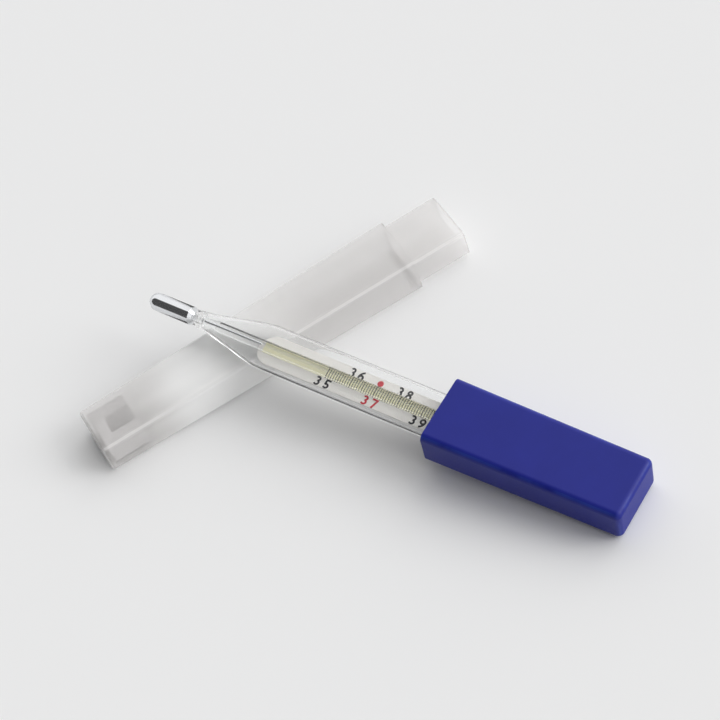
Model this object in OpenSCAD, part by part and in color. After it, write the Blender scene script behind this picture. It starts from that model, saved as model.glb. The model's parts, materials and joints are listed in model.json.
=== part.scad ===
// Clinical thermometer held in its shaking cap and lying across its clear case.
// The case lies along X with its mouth towards +X and its underside on z = 0, centred on the origin.
// The thermometer is drawn along its own X axis, from the bulb's tip at 0 towards the cap, then laid down.

/* [Glass] */
// Length of the glass from the bulb's tip to its rounded top
glass_len = 122; // [118:1:130]
// Width of the flat oval sheath
sheath_w = 11.8; // [11:0.1:13]
// Thickness of the flat oval sheath
sheath_t = 6; // [5.8:0.1:7]
// Wall of the sheath
sheath_wall = 0.7; // [0.5:0.05:0.8]
// Radius of the sheath where it meets the neck
sheath_neck_r = 2.1; // [2:0.05:2.4]
// Length over which the sheath swells from the neck to its full section
shoulder_len = 18.8; // [16:0.2:22]
// Length of solid glass at the foot of the sheath
foot_len = 1.6; // [1:0.1:2.5]
// Length of the rounded top
dome_len = 5; // [3:0.5:6]

/* [Bulb] */
// Diameter of the bulb
bulb_d = 4.4; // [4.2:0.1:5]
// Wall of the bulb
bulb_wall = 0.35; // [0.25:0.05:0.5]
// Length of the bulb's straight side, from the tip
bulb_len = 12; // [10:0.5:12.5]
// Length of the cone between the bulb and its neck
bulb_cone_len = 1.2; // [0.8:0.1:1.4]
// Diameter of the bulb's neck
bulb_neck_d = 3.5; // [3:0.1:3.8]
// Length of the bulb's neck, up to where the sheath is fused to it
bulb_neck_len = 1; // [0.8:0.1:2]

/* [Capillary and column] */
// Width of the flat capillary tube
capillary_w = 2.6; // [2.2:0.1:3]
// Thickness of the flat capillary tube
capillary_t = 1.8; // [1.6:0.1:2]
// Length of the capillary's round foot
capillary_foot_len = 5; // [4:0.5:6]
// Diameter of the capillary's bore
bore_d = 0.6; // [0.5:0.05:0.8]
// Diameter of the expansion chamber at the top of the bore
chamber_d = 1.1; // [1:0.05:1.3]
// Diameter of the constriction pin
pin_d = 0.4; // [0.3:0.05:0.45]
// Distance from the tip to the top of the column when it is shaken down
column_low = 32; // [28:0.5:40]

/* [Scale] */
// Distance from the tip to the 37 degree line
normal_at = 62.5; // [60:0.5:66]
// Distance between full degrees
degree_pitch = 6.35; // [5.5:0.05:6.8]
// Thickness of the opal scale plate
plate_t = 0.45; // [0.35:0.05:0.5]
// Width of the coloured strip behind the capillary
strip_w = 2.4; // [2:0.1:2.6]
// Thickness of the coloured strip, which lies flush in the plate
strip_t = 0.1; // [0.05:0.05:0.2]
// Thickness of the fired-on marks
print_t = 0.05; // [0.03:0.01:0.08]
// Width of a full degree line
degree_line_w = 0.2; // [0.15:0.01:0.25]
// Width of a half degree line
half_line_w = 0.16; // [0.12:0.01:0.2]
// Width of a tenth line
tenth_line_w = 0.12; // [0.1:0.01:0.15]
// Height of the numerals
digit_h = 2.5; // [1.6:0.1:2.6]
// Stroke of the numerals
digit_stroke = 0.46; // [0.2:0.02:0.5]
// Diameter of the dot that marks normal temperature
dot_d = 1.5; // [0.8:0.1:1.8]
// Length of the soft plug above the plate
plug_len = 3.2; // [2:0.2:4]

/* [Cap] */
// Length of the cap
cap_len = 48.5; // [46:0.5:56]
// Wall of the cap at its narrow sides
cap_side_wall = 1.1; // [0.9:0.05:1.4]
// Wall of the cap at its broad faces
cap_face_wall = 0.85; // [0.8:0.05:1.2]
// Wall of the cap at its closed end
cap_end_wall = 1.5; // [1:0.1:2]
// How much narrower the cap is at its closed end
cap_draft_w = 1.1; // [0.4:0.1:1.4]
// How much lower the cap is at its closed end
cap_draft_h = 0.6; // [0.2:0.1:0.8]
// Radius of the cap's long edges
cap_corner_r = 1.6; // [1.2:0.1:2]
// Radius round the cap's closed end
cap_end_r = 0.9; // [0.5:0.1:1.1]
// Length of the sloping ledge between the cap's well and the seat of the grip sleeve
ledge_len = 1; // [0.6:0.1:2]
// Thickness of the grip sleeve's closed end
grip_floor = 5; // [3:0.5:7]

/* [Case] */
// Length of the stepped mouth that the cap slides over
spigot_len = 14; // [10:0.5:16]
// Wall of the stepped mouth
spigot_wall = 0.8; // [0.6:0.05:1]
// Step from the mouth out to the case's narrow sides
step_side = 0.7; // [0.5:0.05:1]
// Step from the mouth out to the case's broad faces
step_face = 1.05; // [0.8:0.05:1.3]
// Wall of the case at its closed end
case_end_wall = 1.4; // [1:0.1:2]
// How much narrower the case is at its closed end
case_draft_w = 2.15; // [1.6:0.05:2.4]
// How much lower the case is at its closed end
case_draft_h = 1.3; // [0.8:0.1:1.5]
// How much narrower the room inside is at the closed end
room_draft_w = 1.5; // [0.8:0.1:1.6]
// How much lower the room inside is at the closed end
room_draft_h = 0.5; // [0.2:0.1:0.6]
// Radius of the case's long edges
case_corner_r = 1.3; // [1:0.1:1.6]
// Radius round the case's closed end
case_end_r = 0.8; // [0.4:0.1:0.9]
// Thickness of the bumper below the bulb
bumper_floor = 2.8; // [2:0.2:4]
// Depth of the notch in the bumper that the bulb enters
bumper_notch = 6.7; // [5:0.1:8]

/* [Clearances] */
// Room beside the glass in the case's mouth
room_side = 0.85; // [0.5:0.05:1.2]
// Room above and below the glass in the case's mouth
room_face = 0.25; // [0.25:0.05:0.5]
// Gap between the cap and the case's mouth
cap_gap = 0.15; // [0.1:0.05:0.25]
// Gap between the end of the case's mouth and the cap's ledge
well_gap = 0.5; // [0.2:0.1:1]
// Gap between the grip sleeve and the glass
grip_gap = 0.15; // [0.1:0.05:0.25]
// Gap between the grip sleeve and the cap
sleeve_gap = 0.05; // [0.03:0.01:0.1]
// Gap between the glass top and its seat
seat_gap = 0.2; // [0.1:0.05:0.4]
// Gap round the bumper in the case
bumper_gap = 0.05; // [0.03:0.01:0.1]
// Gap between the bulb and its notch
notch_gap = 0.3; // [0.2:0.05:0.5]
// Gap between the bulb's tip and the bottom of its notch
tip_gap = 0.8; // [0.4:0.1:1.5]
// Gap between pieces that are fused or poured together
fuse_gap = 0.03; // [0.02:0.01:0.04]
// Gap between the column and the bore
column_gap = 0.05; // [0.03:0.01:0.08]
// Gap between the plate's edges and the sheath
plate_gap = 0.12; // [0.08:0.02:0.2]
// Gap between the stem and the edge of the case that it rests on
rest_gap = 0.2; // [0.1:0.05:0.3]
// Gap between the cap's lowest edge and the table
floor_gap = 0.05; // [0.02:0.01:0.1]

/* [Lay] */
// Angle in plan between the case and the thermometer
lay_yaw = 60.5; // [45:0.5:90]
// Distance from the tip to where the stem rests on the case
rest_from_tip = 30.6; // [26:0.2:44]
// Place along the case where the stem rests
rest_x = -6; // [-15:0.5:15]

/* [Hidden] */
$fn = 48;

// Sides of an oval ring, steps round a rounded corner, and rings along a swelling or a dome
oval_sides = 32;
corner_steps = 5;
swell_steps = 9;
dome_steps = 6;
dome_stop = 84;
edge_steps = 3;
cut = 1;

// Shares of a degree line's overhang past the strip, then a numeral's width to its height,
// the strokes left between two numerals, the turn of a 6's stem and the room beside a line
half_line_share = 0.6;
tenth_line_share = 0.2;
digit_slimness = 0.62;
digit_spread = 2;
stem_turn = 110;
line_gap = 0.1;

// Places along the glass
neck_at = bulb_len + bulb_cone_len + bulb_neck_len;
shoulder_end = neck_at + shoulder_len;
foot_end = neck_at + foot_len;
plug_end = glass_len - dome_len;
plug_start = plug_end - plug_len;
capillary_start = bulb_len + bulb_cone_len - bulb_wall;
capillary_foot_end = capillary_start + capillary_foot_len;
capillary_foot_r = capillary_t / 2;
pin_end = foot_end - fuse_gap;
column_start = pin_end + column_gap;
first_degree = 35;
last_degree = 42;
normal_degree = 37;
function degree_at(degree) = normal_at + degree_pitch * (degree - normal_degree);
chamber_at = (degree_at(last_degree) + plug_start) / 2;

// Section inside the sheath, with the plate behind the capillary
room_a = sheath_w / 2 - sheath_wall;
room_b = sheath_t / 2 - sheath_wall;
print_z = -capillary_t / 2 - fuse_gap;
plate_z = print_z - print_t;
plate_low = plate_z - plate_t;
plate_half_w = room_a * sqrt(1 - pow(plate_low / room_b, 2)) - plate_gap;
plate_start = shoulder_end - plate_half_w / 2;
strip_start = plate_start + plate_half_w / 3;
row_y = plate_half_w - digit_h / 2 - digit_stroke / 4;
line_room = row_y - digit_h / 2 - line_gap;
degree_line_len = 2 * line_room;
line_overhang = degree_line_len - strip_w;
half_line_len = strip_w + line_overhang * half_line_share;
tenth_line_len = strip_w + line_overhang * tenth_line_share;
digit_w = digit_h * digit_slimness;
digit_step = digit_w + digit_stroke * digit_spread;

// Cap and sleeve sections follow the glass, the case's mouth and the walls
spigot_in_w = sheath_w + 2 * room_side;
spigot_in_h = sheath_t + 2 * room_face;
spigot_w = spigot_in_w + 2 * spigot_wall;
spigot_h = spigot_in_h + 2 * spigot_wall;
cap_in_w = spigot_w + 2 * cap_gap;
cap_in_h = spigot_h + 2 * cap_gap;
cap_w = cap_in_w + 2 * cap_side_wall;
cap_h = cap_in_h + 2 * cap_face_wall;
cap_end_w = cap_w - cap_draft_w;
cap_end_h = cap_h - cap_draft_h;
glass_in_cap = cap_len - cap_end_wall - grip_floor - seat_gap;
exposed = glass_len - glass_in_cap;
cap_well = spigot_len + well_gap;
sleeve_start = cap_well + ledge_len;

// Case sections
case_w = spigot_w + 2 * step_side;
case_h = spigot_h + 2 * step_face;
case_end_w = case_w - case_draft_w;
case_end_h = case_h - case_draft_h;
bumper_len = bumper_floor + bumper_notch;
case_len = exposed + tip_gap + bumper_floor + case_end_wall;
case_end_x = -(case_len + spigot_len) / 2;
shoulder_x = case_end_x + case_len;
mouth_x = shoulder_x + spigot_len;
room_end_x = case_end_x + case_end_wall;
bumper_x = room_end_x + bumper_len;
function case_share(x) = (shoulder_x - x) / case_len;
function case_w_at(x) = case_w - case_draft_w * case_share(x);
function case_h_at(x) = case_h - case_draft_h * case_share(x);
function room_share(x) = (mouth_x - x) / (mouth_x - room_end_x);
function room_w_at(x) = spigot_in_w - room_draft_w * room_share(x);
function room_h_at(x) = spigot_in_h - room_draft_h * room_share(x);
function room_mid(x) = (case_h - case_draft_h * room_share(x)) / 2;

// The stem rests on the case's front top edge, and the cap's closed end on the table
rest_y = -(case_w_at(rest_x) / 2 - case_corner_r);
rest_z = case_h_at(rest_x) + rest_gap;
stem_half = sheath_t / 2;
heel_at = exposed + cap_len - cap_end_r;
heel_low = cap_end_h / 2 - cap_end_r;
lever = [heel_at - rest_from_tip, heel_low - stem_half];
drop = rest_z - cap_end_r - floor_gap;
pitch = asin(drop / norm(lever)) - atan2(lever[1], lever[0]);
run = rest_from_tip * cos(pitch) - stem_half * sin(pitch);
tip_x = rest_x - run * cos(lay_yaw);
tip_y = rest_y + run * sin(lay_yaw);
tip_z = rest_z + rest_from_tip * sin(pitch) + stem_half * cos(pitch);

// Ring of an oval round the X axis
function oval_ring(x, half_w, half_t) = [
    for (i = [0 : oval_sides - 1])
        let (a = 360 * i / oval_sides)
        [x, half_w * cos(a), half_t * sin(a)]
];

// Ring of a rectangle with rounded corners round the X axis, its middle raised to z
function box_ring(x, w, h, r, z = 0) = [
    for (k = [0 : 3])
        for (i = [0 : corner_steps])
            let (
                a = 90 * (k + i / corner_steps),
                side_y = (k == 0 || k == 3) ? 1 : -1,
                side_z = k < 2 ? 1 : -1
            )
            [x, side_y * (w / 2 - r) + r * cos(a), z + side_z * (h / 2 - r) + r * sin(a)]
];

// Closed skin through rings that all have the same number of points
module skin(rings) {
    n = len(rings[0]);
    last = len(rings) - 1;
    corners = [for (ring = rings) each ring];
    sides = [
        for (k = [0 : last - 1])
            for (i = [0 : n - 1])
                let (
                    a = k * n + i,
                    b = a + n,
                    c = (k + 1) * n + (i + 1) % n,
                    d = k * n + (i + 1) % n
                )
                each [[a, b, c], [a, c, d]]
    ];
    first_face = [for (i = [0 : n - 1]) i];
    last_face = [for (i = [0 : n - 1]) last * n + n - 1 - i];
    polyhedron(points = corners, faces = concat([first_face], sides, [last_face]));
}

// Lays the thermometer from its own axis to its place across the case
module lay() {
    translate([tip_x, tip_y, tip_z])
        rotate([0, pitch, -lay_yaw])
            children();
}

// Rod along X from one distance to another
module rod(from, to, r) {
    translate([from, 0, 0])
        rotate([0, 90, 0])
            cylinder(h = to - from, r = r);
}

// Half an axis of the sheath's section, eased from the neck to its full size
function swell(x, full) =
    let (
        u = min(1, max(0, (x - neck_at) / shoulder_len)),
        eased = (u + u * u * (3 - 2 * u)) / 2
    )
    sheath_neck_r + (full - sheath_neck_r) * eased;

// Rings of the sheath from a starting distance to its top, drawn in by inset
function sheath_rings(from, inset) = concat(
    [
        for (i = [0 : swell_steps])
            let (x = from + (shoulder_end - from) * i / swell_steps)
            oval_ring(x, swell(x, sheath_w / 2) - inset, swell(x, sheath_t / 2) - inset)
    ],
    [
        for (i = [0 : dome_steps])
            let (
                a = dome_stop * i / dome_steps,
                x = glass_len - dome_len + (dome_len - inset) * sin(a)
            )
            oval_ring(x, (sheath_w / 2 - inset) * cos(a), (sheath_t / 2 - inset) * cos(a))
    ]
);

// Rings of a box's last edge, rounded into its end face, which looks along dir
function end_rings(x, dir, w, h, r, edge, z = 0) = [
    for (i = [1 : edge_steps])
        let (
            a = 90 * i / edge_steps,
            draw = edge * (1 - cos(a))
        )
        box_ring(x + dir * edge * sin(a), w - 2 * draw, h - 2 * draw, r - draw, z)
];

// Clear moulded tube, closed at one end, with a stepped mouth for the cap
module case_tube() {
    round_x = case_end_x + case_end_r;
    end_rim = end_rings(round_x, -1, case_end_w, case_end_h, case_corner_r, case_end_r, case_end_h / 2);
    body_rings = concat(
        [for (i = [edge_steps - 1 : -1 : 0]) end_rim[i]],
        [
            box_ring(round_x, case_end_w, case_end_h, case_corner_r, case_end_h / 2),
            box_ring(shoulder_x, case_w, case_h, case_corner_r, case_h / 2),
        ]
    );
    spigot_rings = [
        for (x = [shoulder_x - cut, mouth_x])
            box_ring(x, spigot_w, spigot_h, case_corner_r, case_h / 2)
    ];
    room_rings = [
        for (x = [room_end_x, mouth_x, mouth_x + cut])
            box_ring(x, room_w_at(x), room_h_at(x), case_corner_r / 2, room_mid(x))
    ];
    color([0.9, 0.93, 0.95, 0.4])
        difference() {
            union() {
                skin(body_rings);
                skin(spigot_rings);
            }
            skin(room_rings);
        }
}

// Soft block in the closed end of the case, notched for the bulb
module end_bumper() {
    notch_w = bulb_d + 2 * notch_gap;
    block_rings = [
        for (x = [room_end_x, bumper_x])
            box_ring(
                x, room_w_at(x) - 2 * bumper_gap, room_h_at(x) - 2 * bumper_gap,
                case_corner_r / 2, room_mid(x)
            )
    ];
    color([0.78, 0.79, 0.8])
        difference() {
            skin(block_rings);
            translate([bumper_x - bumper_notch, -notch_w / 2, -cut])
                cube([bumper_notch + cut, notch_w, case_h + 2 * cut]);
        }
}

// Blue moulded cap, which closes the case and holds the glass for shaking down
module cap_shell() {
    round_at = cap_len - cap_end_r;
    outer_rings = concat(
        [
            box_ring(exposed, cap_w, cap_h, cap_corner_r),
            box_ring(exposed + round_at, cap_end_w, cap_end_h, cap_corner_r),
        ],
        end_rings(exposed + round_at, 1, cap_end_w, cap_end_h, cap_corner_r, cap_end_r)
    );
    inner_rings = concat(
        [
            for (x = [-cut, cap_well])
                box_ring(exposed + x, cap_in_w, cap_in_h, case_corner_r)
        ],
        [for (x = [sleeve_start, cap_len - cap_end_wall]) sleeve_ring(x, 0)]
    );
    color([0.13, 0.15, 0.6])
        lay()
            difference() {
                skin(outer_rings);
                skin(inner_rings);
            }
}

// Ring of the cap's deep end, at a distance from the cap's mouth, drawn in by gap
function sleeve_ring(x, gap) =
    let (share = x / cap_len)
    box_ring(
        exposed + x,
        cap_in_w - cap_draft_w * share - 2 * gap,
        cap_in_h - cap_draft_h * share - 2 * gap,
        case_corner_r - gap
    );

// Soft sleeve in the cap that grips the glass
module grip_sleeve() {
    hole_a = sheath_w / 2 + grip_gap;
    hole_b = sheath_t / 2 + grip_gap;
    dome_at = glass_len - dome_len;
    hole_rings = concat(
        [oval_ring(exposed + sleeve_start - cut, hole_a, hole_b)],
        [
            for (i = [0 : dome_steps])
                let (a = dome_stop * i / dome_steps)
                oval_ring(dome_at + (dome_len + seat_gap) * sin(a), hole_a * cos(a), hole_b * cos(a))
        ]
    );
    color([0.85, 0.86, 0.88])
        lay()
            difference() {
                skin([for (x = [sleeve_start, cap_len - cap_end_wall]) sleeve_ring(x, sleeve_gap)]);
                skin(hole_rings);
            }
}

// Flat oval glass sheath, swelling from the neck and rounded over at the top
module sheath_tube() {
    color([0.88, 0.93, 0.94, 0.4])
        lay()
            difference() {
                skin(sheath_rings(neck_at, 0));
                skin(sheath_rings(foot_end, sheath_wall));
                rod(neck_at - cut, foot_end + cut, capillary_foot_r + fuse_gap);
            }
}

// Round-ended body of revolution that follows the bulb, drawn in by inset
module bulb_shape(inset, neck_r) {
    r = bulb_d / 2 - inset;
    translate([bulb_d / 2, 0, 0])
        sphere(r = r);
    rod(bulb_d / 2, bulb_len - inset, r);
    translate([bulb_len - inset, 0, 0])
        rotate([0, 90, 0])
            cylinder(h = bulb_cone_len, r1 = r, r2 = neck_r);
}

// Thin glass bulb with its neck
module bulb_glass() {
    color([0.8, 0.85, 0.88, 0.4])
        lay()
            difference() {
                union() {
                    bulb_shape(0, bulb_neck_d / 2);
                    rod(bulb_len + bulb_cone_len, neck_at, bulb_neck_d / 2);
                }
                bulb_shape(bulb_wall, capillary_foot_r + fuse_gap);
                rod(bulb_len, neck_at + cut, capillary_foot_r + fuse_gap);
            }
}

// Liquid metal that fills the bulb round the pin
module bulb_filling() {
    color([0.55, 0.57, 0.6])
        lay()
            difference() {
                bulb_shape(bulb_wall + fuse_gap, capillary_foot_r);
                rod(0, neck_at, pin_d / 2 + fuse_gap);
            }
}

// Glass pin from the bulb's tip into the bore, where it leaves the narrow passage
module constriction_pin() {
    color([0.75, 0.85, 0.88])
        lay()
            rod(bulb_wall + fuse_gap, pin_end, pin_d / 2);
}

// Flat capillary tube with a round foot, its fine bore and the chamber at its top
module capillary_tube() {
    flat = capillary_w - capillary_t;
    color([0.85, 0.9, 0.92, 0.4])
        lay()
            difference() {
                union() {
                    rod(capillary_start, capillary_foot_end, capillary_foot_r);
                    translate([capillary_foot_end, -flat / 2, -capillary_t / 2])
                        cube([plug_start - capillary_foot_end, flat, capillary_t]);
                    for (side = [-1, 1])
                        translate([0, side * flat / 2, 0])
                            rod(capillary_foot_end, plug_start, capillary_t / 2);
                }
                rod(capillary_start - cut, chamber_at, bore_d / 2);
                translate([chamber_at, 0, 0])
                    sphere(d = chamber_d);
            }
}

// Column of liquid in the bore, shaken down below the scale
module liquid_thread() {
    color([0.45, 0.4, 0.38])
        lay()
            rod(column_start, column_low, bore_d / 2 - column_gap);
}

// Outline of a bar in the plate's plane with a half-round lower end
module round_end_bar(from, to, w) {
    translate([from + w / 2, 0])
        circle(d = w);
    translate([from + w / 2, -w / 2])
        square([to - from - w / 2, w]);
}

// White opal plate behind the capillary, with a shallow seat for the strip
module scale_plate() {
    color([0.96, 0.96, 0.94])
        lay()
            difference() {
                translate([0, 0, plate_low])
                    linear_extrude(plate_t)
                        round_end_bar(plate_start, plug_start, 2 * plate_half_w);
                translate([strip_start, -strip_w / 2, plate_z - strip_t])
                    cube([plug_start - strip_start + cut, strip_w, strip_t + cut]);
            }
}

// Yellow strip that makes the column easy to see
module color_strip() {
    color([0.86, 0.83, 0.42])
        lay()
            translate([strip_start, -strip_w / 2, plate_z - strip_t])
                cube([plug_start - strip_start, strip_w, strip_t]);
}

// One scale line across the strip
module scale_line(degree, w, length) {
    translate([degree_at(degree) - w / 2, -length / 2, plate_z])
        cube([w, length, print_t]);
}

// Lines at the full degrees
module degree_lines() {
    color([0.08, 0.08, 0.1])
        lay()
            for (degree = [first_degree : last_degree])
                scale_line(degree, degree_line_w, degree_line_len);
}

// Lines halfway between full degrees
module half_degree_lines() {
    color([0.08, 0.08, 0.1])
        lay()
            for (degree = [first_degree : last_degree - 1])
                scale_line(degree + 0.5, half_line_w, half_line_len);
}

// Lines at the other tenths of a degree
module tenth_lines() {
    color([0.08, 0.08, 0.1])
        lay()
            for (degree = [first_degree : last_degree - 1])
                for (tenth = [1, 2, 3, 4, 6, 7, 8, 9])
                    scale_line(degree + tenth / 10, tenth_line_w, tenth_line_len);
}

// Points round an arc
function arc(x, y, r, from, to, steps = 9) =
    [for (i = [0 : steps]) let (a = from + (to - from) * i / steps) [x + r * cos(a), y + r * sin(a)]];

// Ribbon of one stroke's width along points
module ribbon(points, w = digit_stroke) {
    last = len(points) - 1;
    normals = [
        for (i = [0 : last])
            let (
                along = points[min(i + 1, last)] - points[max(i - 1, 0)],
                side = [-along[1], along[0]] / norm(along)
            )
            side * w / 2
    ];
    left = [for (i = [0 : last]) points[i] + normals[i]];
    right = [for (i = [last : -1 : 0]) points[i] - normals[i]];
    polygon(concat(left, right));
}

// Ring of one stroke's width, stretched upwards by tall
module loop(x, y, r, tall = 0) {
    translate([x, y])
        difference() {
            pill(r + digit_stroke / 2, tall);
            pill(r - digit_stroke / 2, tall);
        }
}

// Upright shape with half-round ends
module pill(r, tall) {
    circle(r = r);
    if (tall > 0) {
        translate([0, tall])
            circle(r = r);
        translate([-r, 0])
            square([2 * r, tall]);
    }
}

// One numeral, drawn about its middle
module digit(value) {
    w = (digit_w - digit_stroke) / 2;
    h = (digit_h - digit_stroke) / 2;
    over = digit_stroke / 2;
    bowl = (h + w) / 3;
    stem = (2 * h - w) / sin(stem_turn);
    if (value == 0) {
        loop(0, w - h, w, 2 * (h - w));
    }
    if (value == 1) {
        ribbon([[0, -h - over], [0, h + over]]);
        ribbon([[-w, h * 0.4], [0, h]]);
    }
    if (value == 2) {
        ribbon(arc(0, h - w, w, 170, -35));
        ribbon([arc(0, h - w, w, -30, -35)[0], [-w, -h]]);
        ribbon([[-w - over, -h], [w + over, -h]]);
    }
    if (value == 3) {
        ribbon(arc(0, h - w * 0.9, w * 0.9, 150, -90));
        ribbon(arc(0, w - h, w, 90, -150));
    }
    if (value == 4) {
        ribbon([[w * 0.4, -h - over], [w * 0.4, h + over]]);
        ribbon([[w * 0.4, h], [-w, -h * 0.35]]);
        ribbon([[-w - over, -h * 0.35], [w + over, -h * 0.35]]);
    }
    if (value == 5) {
        ribbon([[-w, h], [w + over, h]]);
        ribbon([[-w + over, h + over], [-w + over, -over]]);
        ribbon(arc(0, w - h, w, 130, -150));
    }
    if (value == 6 || value == 9) {
        rotate(value == 9 ? 180 : 0) {
            loop(0, w - h, w);
            ribbon(arc(stem - w, w - h, stem, 180, stem_turn));
        }
    }
    if (value == 7) {
        ribbon([[-w - over, h], [w + over, h]]);
        ribbon([[w, h], [-w * 0.3, -h - over]]);
    }
    if (value == 8) {
        loop(0, h - bowl * 0.85, bowl * 0.85);
        loop(0, bowl - h, bowl);
    }
}

// A number of two numerals beside its degree line, on one side of the capillary
module scale_number(degree, side) {
    tens = floor(degree / 10);
    translate([degree_at(degree), side * row_y, plate_z])
        linear_extrude(print_t) {
            translate([-digit_step / 2, 0])
                digit(tens);
            translate([digit_step / 2, 0])
                digit(degree - 10 * tens);
        }
}

// Black numbers, odd degrees on the near side and even ones on the far side
module black_numerals() {
    color([0.08, 0.08, 0.1])
        lay()
            for (degree = [first_degree : last_degree])
                if (degree != normal_degree)
                    scale_number(degree, degree % 2 == 0 ? 1 : -1);
}

// Red number at normal temperature
module red_numerals() {
    color([0.8, 0.15, 0.2])
        lay()
            scale_number(normal_degree, -1);
}

// Red dot across from the red number
module normal_dot() {
    color([0.8, 0.15, 0.2])
        lay()
            translate([degree_at(normal_degree), row_y, plate_z])
                cylinder(h = print_t, d = dot_d);
}

// Soft plug that holds the plate and the capillary below the glass top
module top_plug() {
    color([0.9, 0.9, 0.86])
        lay()
            skin([
                for (x = [plug_start, plug_end])
                    oval_ring(x, room_a - fuse_gap, room_b - fuse_gap)
            ]);
}

case_tube();
end_bumper();
cap_shell();
grip_sleeve();
sheath_tube();
bulb_glass();
bulb_filling();
constriction_pin();
capillary_tube();
liquid_thread();
scale_plate();
color_strip();
degree_lines();
half_degree_lines();
tenth_lines();
black_numerals();
red_numerals();
normal_dot();
top_plug();
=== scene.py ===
import json
import math

import bmesh
import bpy
from mathutils import Matrix, Vector


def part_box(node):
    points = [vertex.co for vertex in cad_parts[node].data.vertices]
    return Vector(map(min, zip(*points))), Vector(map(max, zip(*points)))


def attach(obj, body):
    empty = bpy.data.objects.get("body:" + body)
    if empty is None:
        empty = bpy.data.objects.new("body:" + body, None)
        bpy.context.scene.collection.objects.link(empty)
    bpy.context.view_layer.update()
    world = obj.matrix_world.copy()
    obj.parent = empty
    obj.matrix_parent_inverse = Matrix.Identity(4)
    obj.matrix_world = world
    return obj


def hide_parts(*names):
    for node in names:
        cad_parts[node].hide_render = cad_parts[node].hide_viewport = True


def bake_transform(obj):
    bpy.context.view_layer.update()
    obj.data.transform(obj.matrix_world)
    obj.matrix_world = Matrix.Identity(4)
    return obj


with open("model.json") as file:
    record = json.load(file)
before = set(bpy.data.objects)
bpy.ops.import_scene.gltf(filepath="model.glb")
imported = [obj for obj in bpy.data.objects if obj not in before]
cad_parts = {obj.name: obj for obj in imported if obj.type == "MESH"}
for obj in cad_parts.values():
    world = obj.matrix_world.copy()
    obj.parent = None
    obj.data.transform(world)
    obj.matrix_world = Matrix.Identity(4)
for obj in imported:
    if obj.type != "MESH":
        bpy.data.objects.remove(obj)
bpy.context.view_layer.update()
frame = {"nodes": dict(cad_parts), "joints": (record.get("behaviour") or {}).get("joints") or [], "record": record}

mm = 0.001
near = 0.02  # what counts as the same place, in mm
past = 1.0  # how far a cutter reaches past what it cuts, in mm
weld = 0.0005  # corners closer than this become one, in mm
smoothBelow = 30  # an edge that turns less than this is shaded smooth, in degrees
square = 0.9  # a face whose normal has this share along x is an end face

# The laid thermometer's own axes: x from the bulb's tip to the cap, y across the glass, z out of the scale
joints = {joint["name"]: joint for joint in frame["joints"]}
mounts = {mount["name"]: mount for mount in frame["record"]["mounts"]}
along = Vector(joints["column_rise"]["axis"]).normalized()
across = Vector((0, 0, 1)).cross(along).normalized()
outward = along.cross(across)
bulbPin = mounts["bulb"]
bulbRadius = bulbPin["dims"]["r_mm"]
tip = Vector(bulbPin["pos_m"]) - along * mm * (bulbRadius + bulbPin["dims"]["length_mm"] / 2)
laid = Matrix((along, across, outward)).transposed().to_4x4()
laid.translation = tip
print("frame: tip at", [round(v / mm, 2) for v in tip], "mm")


# Modelling helpers

def clearSelection():
    if bpy.context.object and bpy.context.object.mode == "EDIT":
        bpy.ops.object.mode_set(mode="OBJECT")
    bpy.ops.object.select_all(action="DESELECT")


def selectOnly(piece):
    clearSelection()
    bpy.context.view_layer.objects.active = piece
    piece.select_set(True)


def nameNew(name):
    piece = bpy.context.object
    piece.name = name
    piece.data.name = name
    bpy.ops.object.transform_apply(location=True, rotation=True, scale=True)
    return piece


def addBlock(name, low, high):  # a box between two corners, in mm
    clearSelection()
    middle = [(a + b) / 2 * mm for a, b in zip(low, high)]
    bpy.ops.mesh.primitive_cube_add(size=1, location=middle)
    bpy.context.object.scale = [(b - a) * mm for a, b in zip(low, high)]
    return nameNew(name)


def addOblong(name, start, end, wide, tall):  # a box along the glass, centred on it
    return addBlock(name, (start, -wide / 2, -tall / 2), (end, wide / 2, tall / 2))


def editMesh(piece):
    selectOnly(piece)
    bpy.ops.object.mode_set(mode="EDIT")


def leaveMesh():
    bpy.ops.object.mode_set(mode="OBJECT")


def pick(piece, kind, test):  # select what passes a test on its corners, given in mm
    bpy.ops.mesh.select_mode(type={"verts": "VERT", "edges": "EDGE", "faces": "FACE"}[kind])
    bpy.ops.mesh.select_all(action="DESELECT")
    mesh = bmesh.from_edit_mesh(piece.data)
    for part in getattr(mesh, kind):
        part.select_set(test([part.co / mm] if kind == "verts" else [v.co / mm for v in part.verts]))
    mesh.select_flush_mode()
    bmesh.update_edit_mesh(piece.data)


def atX(x):  # every corner on one section
    return lambda corners: all(abs(c.x - x) < near for c in corners)


def fromTo(x0, x1):  # an edge that runs from one section to another
    def test(corners):
        ends = sorted(c.x for c in corners)
        return abs(ends[0] - min(x0, x1)) < near and abs(ends[-1] - max(x0, x1)) < near
    return test


def push(x=0, z=0):  # extrude what is selected, in mm
    bpy.ops.mesh.extrude_region_move(TRANSFORM_OT_translate={"value": (x * mm, 0, z * mm)})


def stretch(y, z, centre):  # resize what is selected in its section
    bpy.ops.transform.resize(value=(1, y, z), center_override=[c * mm for c in centre])


def roundOff(piece, test, radius, steps):
    pick(piece, "edges", test)
    bpy.ops.mesh.bevel(offset=radius * mm, segments=steps, profile=0.5, affect="EDGES", clamp_overlap=True)


def modify(piece, kind, **settings):
    selectOnly(piece)
    modifier = piece.modifiers.new(kind.title(), kind)
    for key, value in settings.items():
        setattr(modifier, key, value)
    bpy.ops.object.modifier_apply(modifier=modifier.name)


def cutAway(piece, cutter):
    modify(piece, "BOOLEAN", operation="DIFFERENCE", object=cutter, solver="EXACT")
    bpy.data.objects.remove(cutter)


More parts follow.
